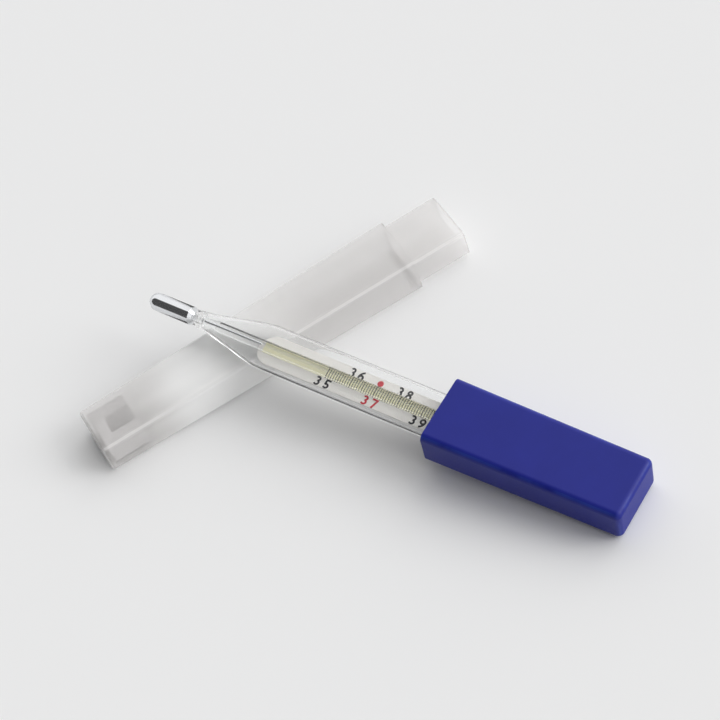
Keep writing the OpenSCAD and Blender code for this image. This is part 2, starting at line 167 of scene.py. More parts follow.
def tidyShell(piece):  # merge, point outwards, smooth the rounds and keep the flats flat
    editMesh(piece)
    bpy.ops.mesh.select_all(action="SELECT")
    bpy.ops.mesh.remove_doubles(threshold=weld * mm)
    bpy.ops.mesh.normals_make_consistent(inside=False)
    leaveMesh()
    bpy.ops.object.shade_smooth_by_angle(angle=math.radians(smoothBelow))


def flatFaces(piece):
    modify(piece, "WEIGHTED_NORMAL", keep_sharp=True, weight=80)


tubeShape = {"pole": 0.004, "sameRing": 0.001}  # a pole is drawn this small, then merged


def drawTube(name, sections, sides):
    # oval rings along x, as (x, half width, half thickness) in mm, where a zero end closes in a pole
    least, sameRing = tubeShape["pole"], tubeShape["sameRing"]
    clearSelection()
    x, wide, thick = sections[0]
    bpy.ops.mesh.primitive_circle_add(vertices=sides, radius=mm, location=(x * mm, 0, 0),
                                      rotation=(math.pi / 2, 0, math.pi / 2))
    piece = nameNew(name)
    editMesh(piece)
    bpy.ops.mesh.select_all(action="SELECT")
    wide, thick = max(wide, least), max(thick, least)
    stretch(wide, thick, (x, 0, 0))
    for nextX, nextWide, nextThick in sections[1:]:
        nextWide, nextThick = max(nextWide, least), max(nextThick, least)
        push(x=nextX - x)
        stretch(nextWide / wide, nextThick / thick, (nextX, 0, 0))
        x, wide, thick = nextX, nextWide, nextThick
    for endX, endWide, _ in (sections[-1], sections[0]):
        if endWide == 0:
            pick(piece, "verts", lambda c: abs(c[0].x - endX) < sameRing and c[0].yz.length < 3 * least)
            bpy.ops.mesh.merge(type="CENTER")
        else:
            pick(piece, "verts", lambda c: abs(c[0].x - endX) < sameRing)
            bpy.ops.mesh.edge_face_add()
    leaveMesh()
    tidyShell(piece)
    return piece


def dome(x, reach, wide, thick, steps):  # rings of a rounded end, from its rim to its pole
    turns = [math.pi / 2 * i / steps for i in range(1, steps)]
    rings = [(x + reach * math.sin(a), wide * math.cos(a), thick * math.cos(a)) for a in turns]
    return rings + [(x + reach, 0, 0)]


def layDown(piece):  # from the thermometer's own axes to where it lies
    selectOnly(piece)
    piece.matrix_world = laid
    bpy.ops.object.transform_apply(location=True, rotation=True, scale=True)


def markEdges(piece, ends=0):  # how far each face leans from the piece's own axes, with a share for its ends
    lean = piece.data.attributes.new("edge", "FLOAT", "FACE")
    values = [max(1 - max(abs(v) for v in face.normal), ends * (abs(face.normal.x) > square))
              for face in piece.data.polygons]
    lean.data.foreach_set("value", values)


def markInside(piece, middle, floorAt):  # the faces of a room along x, which look at its middle line
    values = []
    for face in piece.data.polygons:
        centre, normal = face.center / mm, face.normal
        looksIn = centre.y * normal.y + (centre.z - middle) * normal.z < -near
        values.append(looksIn or (normal.x > square and abs(centre.x - floorAt) < near))
    inside = piece.data.attributes.new("inside", "FLOAT", "FACE")
    inside.data.foreach_set("value", values)


def settle(piece, body, slot, finish, *nodes):
    piece.data.materials.clear()
    piece.data.materials.append(finish)
    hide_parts(*nodes)
    if body:
        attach(piece, body)
    print("piece:", piece.name, len(piece.data.polygons), "faces")


# Shader helpers

class Value:  # a socket that can be added, multiplied and so on
    def __init__(self, finish, socket):
        self.finish = finish
        self.socket = socket

    def calc(self, operation, first, second):
        return self.finish.add("ShaderNodeMath", {"operation": operation}, {0: first, 1: second})["Value"]

    def __add__(self, other):
        return self.calc("ADD", self, other)

    def __radd__(self, other):
        return self.calc("ADD", other, self)

    def __sub__(self, other):
        return self.calc("SUBTRACT", self, other)

    def __rsub__(self, other):
        return self.calc("SUBTRACT", other, self)

    def __mul__(self, other):
        return self.calc("MULTIPLY", self, other)

    def __rmul__(self, other):
        return self.calc("MULTIPLY", other, self)


class Finish:  # one material, or the world, and its nodes
    def __init__(self, name, library=bpy.data.materials):
        self.owner = library.new(name)
        self.owner.use_nodes = True
        self.nodes = self.owner.node_tree.nodes
        self.links = self.owner.node_tree.links
        self.nodes.clear()

    def add(self, kind, settings=None, sockets=None):
        node = self.nodes.new(kind)
        for key, value in (settings or {}).items():
            setattr(node, key, value)
        for key, value in (sockets or {}).items():
            socket = node.inputs[key] if isinstance(key, int) else self.find(node.inputs, key)
            if isinstance(value, Value):
                self.links.new(value.socket, socket)
            else:
                socket.default_value = value
        outputs = {s.identifier: Value(self, s) for s in node.outputs}
        return outputs | {s.name: Value(self, s) for s in node.outputs}

    def find(self, sockets, key):
        return next(s for s in sockets if s.identifier == key or s.name == key)

    def place(self, scale=(1, 1, 1), onGlass=False):  # object coordinates, turned to the glass where asked
        start = self.add("ShaderNodeTexCoord")["Object"]
        if onGlass:
            start = self.add("ShaderNodeMapping", {"vector_type": "TEXTURE"},
                             {"Vector": start, "Location": tip, "Rotation": laid.to_euler()})["Vector"]
        return self.add("ShaderNodeMapping", {}, {"Vector": start, "Scale": scale})["Vector"]

    def noise(self, place, scale, detail=3, rough=0.55):
        sockets = {"Vector": place, "Scale": scale, "Detail": detail, "Roughness": rough}
        return self.add("ShaderNodeTexNoise", {}, sockets)["Fac"]

    def marked(self, name):  # what a face attribute says
        return self.add("ShaderNodeAttribute", {"attribute_name": name})["Fac"]

    def ramp(self, value, low, high):  # 0 below low, 1 above high
        return self.add("ShaderNodeMapRange", {"interpolation_type": "SMOOTHSTEP"},
                        {"Value": value, "From Min": low, "From Max": high})["Result"]

    def about(self, value, vary):  # close to 1, more or less by half of vary
        return (1 - vary / 2) + vary * value

    def mix(self, share, first, second):
        colours = {"Factor_Float": share, "A_Color": self.shade(first), "B_Color": self.shade(second)}
        return self.add("ShaderNodeMix", {"data_type": "RGBA"}, colours)["Result_Color"]

    def shade(self, colour):
        return colour if isinstance(colour, Value) else (*colour, 1)

    def bump(self, height, strength, depth):
        sockets = {"Height": height, "Strength": strength, "Distance": depth * mm}
        return self.add("ShaderNodeBump", {}, sockets)["Normal"]

    def surface(self, **sockets):
        names = {key.replace("_", " "): value for key, value in sockets.items()}
        names["Base Color"] = self.shade(names["Base Color"])
        shader = self.add("ShaderNodeBsdfPrincipled", {}, names)["BSDF"]
        self.add("ShaderNodeOutputMaterial", {}, {"Surface": shader})
        return self.owner


# Finishes: a pattern's value is its noise scale, Long draws it out, and a Mask rises between its two values

# white is the colour of the painted highlights on the edges and of the painted light beside the bumper
clearLook = {
    "grey": (0.8, 0.777, 0.762), "pale": (0.88, 0.86, 0.848), "white": (0.96, 0.96, 0.955),
    "flow": 60, "flowLong": (0.25, 1, 1), "scuff": 700, "scuffLong": (0.3, 1, 1), "scuffMask": (0.58, 0.76),
    "edgeMask": (0, 0.25), "edgeWhite": 0.4, "rimBlend": 0.3, "rimMask": (0.5, 0.78),
    "fogStart": (-43, -24), "fogEnd": (-14, 12), "fogWander": 10, "fogVary": 0.6, "fogEdge": 1.3,
    "veil": 0.34, "veilVary": 0.2, "edgeVeil": 0.26, "rimVeil": 0.55, "fogVeil": 0.5, "innerVeil": 0.25,
    "rough": 0.08, "flowRough": 0.05, "scuffRough": 0.12, "bend": 1.55, "bump": 0.03, "bumpDeep": 0.1}


def clearPlastic():  # cloudy moulding: thin on the flats, with painted highlights that whiten the edges, and painted light that whitens and thickens it beside the bumper
    look = clearLook
    f = Finish("clearPlastic")
    flow = f.noise(f.place(look["flowLong"]), look["flow"], detail=2)
    marks = f.noise(f.place(look["scuffLong"]), look["scuff"], detail=6, rough=0.7)
    scuff = f.ramp(marks, *look["scuffMask"])
    edge = f.ramp(f.marked("edge"), *look["edgeMask"])
    facing = f.add("ShaderNodeLayerWeight", {}, {"Blend": look["rimBlend"]})["Facing"]
    rim = f.ramp(facing, *look["rimMask"])
    x = f.add("ShaderNodeSeparateXYZ", {}, {"Vector": f.place()})["X"] + look["fogWander"] * mm * (flow - 0.5)
    # a zone beside the bumper, whitened and made denser: painted light
    starts, ends = (f.ramp(x, *(v * mm for v in look[key])) for key in ("fogStart", "fogEnd"))
    paintedLightFog = starts * (1 - ends)
    veil = (look["veil"] * f.about(flow, look["veilVary"])
            + look["edgeVeil"] * edge * (1 - look["fogEdge"] * paintedLightFog)
            + look["rimVeil"] * rim + look["fogVeil"] * paintedLightFog * f.about(flow, look["fogVary"]))
    veil = veil * (1 - (1 - look["innerVeil"]) * f.marked("inside"))  # the inner walls stay clearer
    # painted light: the zone beside the bumper is mixed towards white
    body = f.mix(paintedLightFog, f.mix(flow, look["grey"], look["pale"]), look["white"])
    # painted highlight: the edges, and by a smaller share the end faces, are mixed towards white
    return f.surface(Base_Color=f.mix(look["edgeWhite"] * edge, body, look["white"]),
                     Roughness=look["rough"] + look["flowRough"] * flow + look["scuffRough"] * scuff,
                     IOR=look["bend"], Alpha=veil, Normal=f.bump(flow, look["bump"], look["bumpDeep"]))


blueLook = {"deep": (0.006, 0.011, 0.2), "royal": (0.009, 0.016, 0.25), "polish": (0.05, 0.1, 0.46),
            "mottle": 140, "grain": 5200, "edgeMask": (0.05, 0.3), "patchMask": (0.35, 0.65), "polished": 0.4,
            "rough": 0.38, "grainRough": 0.12, "polishShine": 0.14, "bend": 1.5, "specular": 0.3,
            "bump": 0.16, "bumpDeep": 0.06}


def bluePlastic():  # finely grained, and lighter along its edges: partly rubbed wear, partly painted highlight
    look = blueLook
    f = Finish("bluePlastic")
    mottle = f.noise(f.place(), look["mottle"], detail=4)
    grain = f.noise(f.place(), look["grain"], detail=3)
    # rubbed patches along the edges, lightened as wear and as painted highlight
    rubAndSheen = f.ramp(f.marked("edge"), *look["edgeMask"]) * f.ramp(mottle, *look["patchMask"])
    body = f.mix(mottle, look["deep"], look["royal"])
    return f.surface(Base_Color=f.mix(rubAndSheen * look["polished"], body, look["polish"]),
                     Roughness=look["rough"] + look["grainRough"] * grain - look["polishShine"] * rubAndSheen,
                     Normal=f.bump(grain, look["bump"], look["bumpDeep"]), IOR=look["bend"],
                     Specular_IOR_Level=look["specular"])


glassLook = {"tint": (0.99, 0.995, 0.994), "clear": (0.998, 1.0, 0.999), "draw": 420,
             "drawLong": (0.01, 1, 1), "smudge": 160, "smudgeLong": (0.4, 1, 1), "smudgeMask": (0.5, 0.72),
             "rough": 0.01, "smudgeRough": 0.035, "bump": 0.008, "bumpDeep": 0.02,
             "sheathBend": 1.25, "capillaryBend": 1.2, "bore": 0.06, "boreLeast": 0.5, "boreRough": 0.05}


def drawnGlass(name, bend):  # faint lines along the draw, and a few finger smudges
    look = glassLook
    f = Finish(name)
    draw = f.noise(f.place(look["drawLong"], onGlass=True), look["draw"], detail=2)
    smears = f.noise(f.place(look["smudgeLong"], onGlass=True), look["smudge"], detail=4)
    smudge = f.ramp(smears, *look["smudgeMask"])
    return f.surface(Base_Color=f.mix(draw, look["tint"], look["clear"]),
                     Roughness=look["rough"] + look["smudgeRough"] * smudge,
                     Transmission_Weight=1.0, IOR=bend, Normal=f.bump(draw, look["bump"], look["bumpDeep"]))


def boreWall():  # a hair-fine empty bore shows only as a faint line
    look = glassLook
    f = Finish("boreWall")
    draw = f.noise(f.place(look["drawLong"], onGlass=True), look["draw"], detail=2)
    return f.surface(Base_Color=f.mix(draw, look["tint"], look["clear"]),
                     Roughness=look["boreRough"] + look["boreRough"] * draw,
                     Alpha=look["bore"] * (look["boreLeast"] + draw))


opalLook = {"white": (0.95, 0.93, 0.89), "cloud": (0.9, 0.875, 0.83), "clouds": 260,
            "cloudLong": (0.25, 1, 1), "cloudy": 0.7, "fine": 2400, "rough": 0.28, "fineRough": 0.15,
            "bump": 0.08, "bumpDeep": 0.02}


def opalGlass():
    look = opalLook
    f = Finish("opalGlass")
    cloud = f.noise(f.place(look["cloudLong"], onGlass=True), look["clouds"], detail=4)
    fine = f.noise(f.place(onGlass=True), look["fine"], detail=3)
    return f.surface(Base_Color=f.mix(cloud * look["cloudy"], look["white"], look["cloud"]),
                     Roughness=look["rough"] + look["fineRough"] * fine,
                     Normal=f.bump(fine, look["bump"], look["bumpDeep"]))


stripLook = {"yellow": (0.97, 0.93, 0.6), "pale": (0.99, 0.96, 0.72), "brush": 700, "brushLong": (0.06, 1, 1),
             "rough": 0.32, "brushRough": 0.2, "bump": 0.15, "bumpDeep": 0.02}


def yellowEnamel():
    look = stripLook
    f = Finish("yellowEnamel")
    brush = f.noise(f.place(look["brushLong"], onGlass=True), look["brush"], detail=4)
    return f.surface(Base_Color=f.mix(brush, look["yellow"], look["pale"]),
                     Roughness=look["rough"] + look["brushRough"] * brush,
                     Normal=f.bump(brush, look["bump"], look["bumpDeep"]))


inkLook = {"black": ((0.012, 0.012, 0.016), (0.06, 0.06, 0.065)),
           "red": ((0.6, 0.03, 0.05), (0.72, 0.12, 0.14)),
           "speckle": 9000, "patch": 1800, "patchMask": (0.45, 0.75), "thinned": 0.6, "rough": 0.35,
           "speckleRough": 0.25, "bump": 0.2, "bumpDeep": 0.01}


def firedInk(name, dense, thin):
    look = inkLook
    f = Finish(name)
    speckle = f.noise(f.place(onGlass=True), look["speckle"], detail=2)
    patch = f.noise(f.place(onGlass=True), look["patch"], detail=3)
    return f.surface(Base_Color=f.mix(f.ramp(patch, *look["patchMask"]) * look["thinned"], dense, thin),
                     Roughness=look["rough"] + look["speckleRough"] * speckle,
                     Normal=f.bump(speckle, look["bump"], look["bumpDeep"]))


metalLook = {"bright": (0.84, 0.85, 0.87), "dull": (0.7, 0.71, 0.73), "skin": 500, "skinLong": (0.3, 1, 1),
             "dulled": 0.5, "rough": 0.03, "skinRough": 0.05}


def liquidMetal():
    look = metalLook
    f = Finish("liquidMetal")
    skin = f.noise(f.place(look["skinLong"], onGlass=True), look["skin"], detail=3)
    return f.surface(Base_Color=f.mix(skin * look["dulled"], look["bright"], look["dull"]), Metallic=1.0,
                     Roughness=look["rough"] + look["skinRough"] * skin)


foamLook = {"pale": (0.64, 0.63, 0.63), "pore": (0.48, 0.47, 0.47), "pores": 1500, "poreMask": (0.15, 0.6),
            "lumps": 500, "rough": 0.75, "lumpRough": 0.2, "pitDeep": 0.7, "bump": 0.5, "bumpDeep": 0.12}


def foamRubber():
    look = foamLook
    f = Finish("foamRubber")
    pores = f.add("ShaderNodeTexVoronoi", {"feature": "F1"}, {"Vector": f.place(), "Scale": look["pores"]})
    pits = f.ramp(pores["Distance"], *look["poreMask"])
    lumps = f.noise(f.place(), look["lumps"], detail=4)
    # the pits are painted darker: painted shade in the pores
    return f.surface(Base_Color=f.mix(pits * lumps, look["pale"], look["pore"]),
                     Roughness=look["rough"] + look["lumpRough"] * lumps,
                     Normal=f.bump(lumps - pits * look["pitDeep"], look["bump"], look["bumpDeep"]))


siliconeLook = {"milk": (0.8, 0.81, 0.82), "shade": (0.7, 0.71, 0.73), "wave": 300, "bloom": 2600,
                "rough": 0.45, "bloomRough": 0.25, "depth": 1.5, "glow": 0.3, "bump": 0.2, "bumpDeep": 0.03}


def softSilicone(name):
    look = siliconeLook
    f = Finish(name)
    wave = f.noise(f.place(onGlass=True), look["wave"], detail=3)
    bloom = f.noise(f.place(onGlass=True), look["bloom"], detail=4)
    return f.surface(Base_Color=f.mix(wave, look["milk"], look["shade"]),
                     Roughness=look["rough"] + look["bloomRough"] * bloom, Subsurface_Weight=look["glow"],
                     Subsurface_Radius=[look["depth"] * mm] * 3,
                     Normal=f.bump(bloom, look["bump"], look["bumpDeep"]))


clearPlasticFinish = clearPlastic()
bluePlasticFinish = bluePlastic()
sheathFinish = drawnGlass("sheathGlass", glassLook["sheathBend"])
tubeFinish = drawnGlass("capillaryGlass", glassLook["capillaryBend"])
metalFinish = liquidMetal()
blackFinish = firedInk("blackInk", *inkLook["black"])
redFinish = firedInk("redInk", *inkLook["red"])
foamFinish = foamRubber()
sleeveFinish = softSilicone("softSilicone")
print("finishes:", len(bpy.data.materials))


# Clear case: one moulding, closed at one end, with a stepped mouth

caseShape = {"stepLength": 14, "endWide": 14.35, "endTall": 8.9, "stepWide": 15.1, "stepTall": 8.1,
             "mouthWide": 13.5, "mouthTall": 6.5, "roomWide": 12.0, "roomTall": 6.0, "endWall": 1.4,
             "corner": 1.3, "innerCorner": 0.65, "endRound": 0.8, "roundSteps": 6, "rim": 0.26, "rimSteps": 3,
             "endWhite": 0.12}


def makeCase():
    s = caseShape
    low, high = (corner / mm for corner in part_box("case_tube"))
    shoulder = high.x - s["stepLength"]
    roomEnd = low.x + s["endWall"]
    tall, wide = high.z, high.y - low.y
    piece = addBlock("case", (low.x, low.y, 0), (shoulder, high.y, tall))
    editMesh(piece)
    pick(piece, "faces", atX(low.x))
    stretch(s["endWide"] / wide, s["endTall"] / tall, (low.x, 0, 0))
    pick(piece, "faces", atX(shoulder))
    push()
    stretch(s["stepWide"] / wide, s["stepTall"] / tall, (shoulder, 0, tall / 2))
    push(x=s["stepLength"])
    push()
    stretch(s["mouthWide"] / s["stepWide"], s["mouthTall"] / s["stepTall"], (high.x, 0, tall / 2))
    push(x=roomEnd - high.x, z=(s["endTall"] - tall) / 2)
    stretch(s["roomWide"] / s["mouthWide"], s["roomTall"] / s["mouthTall"], (roomEnd, 0, s["endTall"] / 2))
    roundOff(piece, fromTo(low.x, shoulder), s["corner"], s["roundSteps"])
    roundOff(piece, fromTo(shoulder, high.x), s["corner"], s["roundSteps"])
    roundOff(piece, fromTo(roomEnd, high.x), s["innerCorner"], s["roundSteps"])
    roundOff(piece, atX(low.x), s["endRound"], s["roundSteps"])
    for x in (high.x, shoulder, roomEnd):
        roundOff(piece, atX(x), s["rim"], s["rimSteps"])
    leaveMesh()
    tidyShell(piece)
    # the end faces take a share of the edge mark, which whitens them as painted highlight
    markEdges(piece, s["endWhite"])
    markInside(piece, tall / 2, roomEnd)
    flatFaces(piece)
    settle(piece, "case", "clear_plastic", clearPlasticFinish, "case_tube")


# Foam block in the closed end, notched for the bulb

bumperShape = {"notchWide": 5.0, "notchDeep": 6.7, "soft": 0.35, "softSteps": 4}


def makeBumper():
    s = bumperShape
    low, high = (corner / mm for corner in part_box("end_bumper"))
    piece = addBlock("bumper", low, high)
    notch = addBlock("bumperNotch", (high.x - s["notchDeep"], -s["notchWide"] / 2, low.z - past),
                     (high.x + past, s["notchWide"] / 2, high.z + past))
    cutAway(piece, notch)
    modify(piece, "BEVEL", width=s["soft"] * mm, segments=s["softSteps"], limit_method="ANGLE")
    tidyShell(piece)
    flatFaces(piece)
    settle(piece, "case", "soft_bumper", foamFinish, "end_bumper")


# Blue cap, modelled along the glass and then laid down

capShape = {"mouthAt": 80.2, "length": 48.5, "mouthWide": 17.6, "mouthTall": 10.1, "endWide": 16.5,
            "endTall": 9.5, "wellWide": 15.4, "wellTall": 8.4, "wellDeep": 14.5, "ledge": 1.0,
            "seatWide": 15.05, "seatTall": 8.21, "floorWide": 14.33, "floorTall": 7.82, "endWall": 1.5,
            "corner": 1.6, "innerCorner": 1.2, "endRound": 1.4, "roundSteps": 8, "rim": 0.22, "rimSteps": 3}


def makeCap():
    s = capShape
    mouth, end = s["mouthAt"], s["mouthAt"] + s["length"]
    well, seat, floor = mouth + s["wellDeep"], mouth + s["wellDeep"] + s["ledge"], end - s["endWall"]
    piece = addOblong("cap", mouth, end, s["mouthWide"], s["mouthTall"])
    editMesh(piece)
    pick(piece, "faces", atX(end))
    stretch(s["endWide"] / s["mouthWide"], s["endTall"] / s["mouthTall"], (end, 0, 0))
    pick(piece, "faces", atX(mouth))
    push()
    stretch(s["wellWide"] / s["mouthWide"], s["wellTall"] / s["mouthTall"], (mouth, 0, 0))
    push(x=well - mouth)
    push(x=seat - well)
    stretch(s["seatWide"] / s["wellWide"], s["seatTall"] / s["wellTall"], (seat, 0, 0))
    push(x=floor - seat)
    stretch(s["floorWide"] / s["seatWide"], s["floorTall"] / s["seatTall"], (floor, 0, 0))
    roundOff(piece, fromTo(mouth, end), s["corner"], s["roundSteps"])
    for x0, x1 in ((mouth, well), (well, seat), (seat, floor)):
        roundOff(piece, fromTo(x0, x1), s["innerCorner"], s["roundSteps"])
    roundOff(piece, atX(end), s["endRound"], s["roundSteps"])
    roundOff(piece, atX(mouth), s["rim"], s["rimSteps"])
    leaveMesh()
    tidyShell(piece)
    markEdges(piece)
    flatFaces(piece)
    layDown(piece)
    settle(piece, "cap", "blue_plastic", bluePlasticFinish, "cap_shell")


# Soft sleeve in the cap

sleeveShape = {"start": 95.7, "end": 127.2, "startWide": 14.95, "startTall": 8.11, "endWide": 14.23,
               "endTall": 7.72, "corner": 1.2, "cornerSteps": 6, "holeWide": 6.05, "holeThick": 3.15,
               "holeEnd": 117.0, "holeDome": 5.2, "domeSteps": 8, "lip": 0.3, "lipLength": 1.2, "sides": 64}


def makeSleeve():
    s = sleeveShape
    start, wide, thick = s["start"], s["holeWide"], s["holeThick"]
    piece = addOblong("gripSleeve", start, s["end"], s["startWide"], s["startTall"])
    editMesh(piece)
    pick(piece, "faces", atX(s["end"]))
    stretch(s["endWide"] / s["startWide"], s["endTall"] / s["startTall"], (s["end"], 0, 0))
    roundOff(piece, fromTo(start, s["end"]), s["corner"], s["cornerSteps"])
    leaveMesh()
    flared = (wide + s["lip"], thick + s["lip"])
    hole = [(start - past, 0, 0), (start - 0.9 * past, *flared), (start, *flared),
            (start + s["lipLength"], wide, thick), (s["holeEnd"], wide, thick)]
    hole += dome(s["holeEnd"], s["holeDome"], wide, thick, s["domeSteps"])
    cutAway(piece, drawTube("sleeveHole", hole, s["sides"]))
    tidyShell(piece)
    layDown(piece)
    settle(piece, "cap", "soft_sleeve", sleeveFinish, "grip_sleeve")


# Outer glass: one continuous wall from the inner dome, down to the foot and up again outside

sheathShape = {"wide": 5.9, "thick": 3.0, "wall": 0.7, "neckAt": 14.2, "neckRadius": 2.1, "shoulder": 18.8,
               "foot": 1.6, "footHole": 0.93, "end": 122.0, "domeLength": 5.0, "domeSteps": 12, "sides": 96,
               "steps": 22}


def makeSheath():
    s = sheathShape
    full, domeAt = s["neckAt"] + s["shoulder"], s["end"] - s["domeLength"]
    footEnd = s["neckAt"] + s["foot"]

    def swell(x, half):  # from the round neck to the flat oval, midway between a straight and an S curve
        u = min(1, max(0, (x - s["neckAt"]) / s["shoulder"]))
        return s["neckRadius"] + (half - s["neckRadius"]) * (u + u * u * (3 - 2 * u)) / 2

    def rings(start, inset):
        wide, thick = s["wide"] - inset, s["thick"] - inset
        places = [start + (full - start) * i / s["steps"] for i in range(s["steps"] + 1)]
        body = [(x, swell(x, s["wide"]) - inset, swell(x, s["thick"]) - inset) for x in places]
        end = dome(domeAt, s["domeLength"] - inset, wide, thick, s["domeSteps"])
        return body + [(domeAt, wide, thick)] + end

    inner = rings(footEnd, s["wall"])[::-1]
    hole = [(footEnd, s["footHole"], s["footHole"]), (s["neckAt"], s["footHole"], s["footHole"])]
    piece = drawTube("sheath", inner + hole + rings(s["neckAt"], 0), s["sides"])
    layDown(piece)
    settle(piece, "glass", "clear_glass", sheathFinish, "sheath_tube")


# Bulb: thin wall, with the two fine rings where it was fused to the stem

bulbShape = {"straightEnd": 12.0, "coneEnd": 13.2, "neckEnd": 14.2, "neck": 1.75, "wall": 0.35, "hole": 0.93,
             "ringsAt": (0.35, 0.75), "ring": 0.16, "sides": 72, "domeSteps": 10,
             "ringRise": ((-0.16, 0), (-0.08, 0.8), (0, 1), (0.08, 0.8), (0.16, 0))}


def makeBulb():
    s = bulbShape
    r, wall, hole = bulbRadius, s["wall"], s["hole"]
    thin = r - wall
    outer = dome(r, -r, r, r, s["domeSteps"])[::-1] + [(r, r, r), (s["straightEnd"], r, r)]
    neck = [(s["coneEnd"], s["neck"], s["neck"])]
    for at in s["ringsAt"]:
        middle = s["coneEnd"] + at * (s["neckEnd"] - s["coneEnd"])
        for dx, up in s["ringRise"]:
            raised = s["neck"] + up * s["ring"]
            neck.append((middle + dx, raised, raised))
    neck += [(s["neckEnd"], s["neck"], s["neck"]), (s["neckEnd"], hole, hole)]
    inside = [(s["coneEnd"] - wall, hole, hole), (s["straightEnd"] - wall, thin, thin), (r, thin, thin)]
    inside += dome(r, -thin, thin, thin, s["domeSteps"])
    piece = drawTube("bulb", outer + neck + inside, s["sides"])
    layDown(piece)
    settle(piece, "glass", "clear_glass", sheathFinish, "bulb_glass")


# Liquid metal that wets the bulb's inner wall, and the column that grows out of it

fillShape = {"radius": 1.865, "tipAt": 0.335, "straightEnd": 11.66, "end": 12.86, "endRadius": 0.945,
             "domeSteps": 12, "sides": 64}
threadShape = {"start": 15.82, "end": 32.0, "radius": 0.25, "rings": 40, "domeSteps": 5, "sides": 24}


def makeFilling():
    s = fillShape
    r, narrow = s["radius"], s["endRadius"]
    rounded = dome(bulbRadius, s["tipAt"] - bulbRadius, r, r, s["domeSteps"])[::-1]
    rings = rounded + [(bulbRadius, r, r), (s["straightEnd"], r, r), (s["end"], narrow, narrow)]
    piece = drawTube("bulbFilling", rings + [(s["end"], 0, 0)], s["sides"])
    layDown(piece)
    settle(piece, "glass", "liquid_metal", metalFinish, "bulb_filling")


def makeThread():
    s = threadShape
    r, first, last = s["radius"], s["start"] + s["radius"], s["end"] - s["radius"]
    straight = [(first + (last - first) * i / s["rings"], r, r) for i in range(s["rings"] + 1)]
    rings = dome(first, -r, r, r, s["domeSteps"])[::-1] + straight + dome(last, r, r, r, s["domeSteps"])
    piece = drawTube("liquidThread", rings, s["sides"])
    layDown(piece)
    settle(piece, None, "liquid_metal", metalFinish, "liquid_thread")
    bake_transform(piece)


# Capillary: round foot, then a flat oval with the bore, blind at the chamber

capillaryShape = {"start": 12.85, "end": 113.8, "footEnd": 17.85, "foot": 0.9, "spread": 1.5, "wide": 1.3,
                  "thick": 0.9, "endRound": 0.1, "bore": 0.3, "chamberAt": 104.0, "chamber": 0.55,
                  "chamberTurns": (35, 180, 15), "flatFrom": 0.56, "sides": 64}


def makeCapillary():
    s = capillaryShape
    wide, thick, foot, bore, room = (s[key] for key in ("wide", "thick", "foot", "bore", "chamber"))
    outer = [(s["end"], 0, 0), (s["end"], wide - s["endRound"], thick - s["endRound"]),
             (s["end"] - s["endRound"], wide, thick), (s["footEnd"] + s["spread"], wide, thick),
             (s["footEnd"], foot, foot), (s["start"], foot, foot)]
    chamber = [(s["chamberAt"] - room * math.cos(a), room * math.sin(a), room * math.sin(a))
               for a in (math.radians(turn) for turn in range(*s["chamberTurns"]))]
    inner = [(s["start"], bore, bore), (chamber[0][0], bore, bore)] + chamber
    piece = drawTube("capillary", outer + inner + [(s["chamberAt"] + room, 0, 0)], s["sides"])
    editMesh(piece)
    pick(piece, "verts", lambda c: c[0].x > s["footEnd"] + near and c[0].z < -s["flatFrom"])
    bpy.ops.transform.resize(value=(1, 1, 0), center_override=(0, 0, -thick * mm))  # flat back on the strip
    leaveMesh()
    tidyShell(piece)
    layDown(piece)
    settle(piece, "glass", "clear_glass", tubeFinish, "capillary_tube")
    piece.data.materials.append(boreWall())
    for face in piece.data.polygons:  # the bore and the chamber, and not the outside
        place = laid.inverted() @ face.center / mm
        if s["start"] + near / 2 < place.x < s["chamberAt"] + 2 * room and place.yz.length < room + near:
            face.material_index = 1


# Opal plate with its rounded foot and the shallow seat of the yellow strip

plateShape = {"start": 31.02, "end": 113.8, "half": 3.95, "top": -0.98, "thick": 0.45, "footRound": 3.871,
              "footSteps": 14, "edge": 0.06, "edgeSteps": 3, "edgeAngle": 60, "seatStart": 32.337,
              "seatHalf": 1.203, "seatDeep": 0.102}


def makePlate():
    s = plateShape
    piece = addBlock("scalePlate", (s["start"], -s["half"], s["top"] - s["thick"]),
                     (s["end"], s["half"], s["top"]))
    editMesh(piece)
    atFoot = atX(s["start"])
    roundOff(piece, lambda c: atFoot(c) and abs(c[0].z - c[1].z) > near, s["footRound"], s["footSteps"])
    leaveMesh()
    modify(piece, "BEVEL", width=s["edge"] * mm, segments=s["edgeSteps"], limit_method="ANGLE",
           angle_limit=math.radians(s["edgeAngle"]))
    seat = addBlock("plateSeat", (s["seatStart"], -s["seatHalf"], s["top"] - s["seatDeep"]),
                    (s["end"] + past, s["seatHalf"], s["top"] + past))
    cutAway(piece, seat)
    tidyShell(piece)
    flatFaces(piece)
    layDown(piece)
    settle(piece, "glass", "opal_plate", opalGlass(), "scale_plate")


# Soft plug above the plate

plugShape = {"start": 113.82, "end": 117.0, "wide": 5.15, "thick": 2.25, "soft": 0.35,
             "softTurns": (90, 60, 30, 0), "dimple": 0.5, "dimpleRim": 0.4, "dimpleDeep": 0.5, "sides": 64}


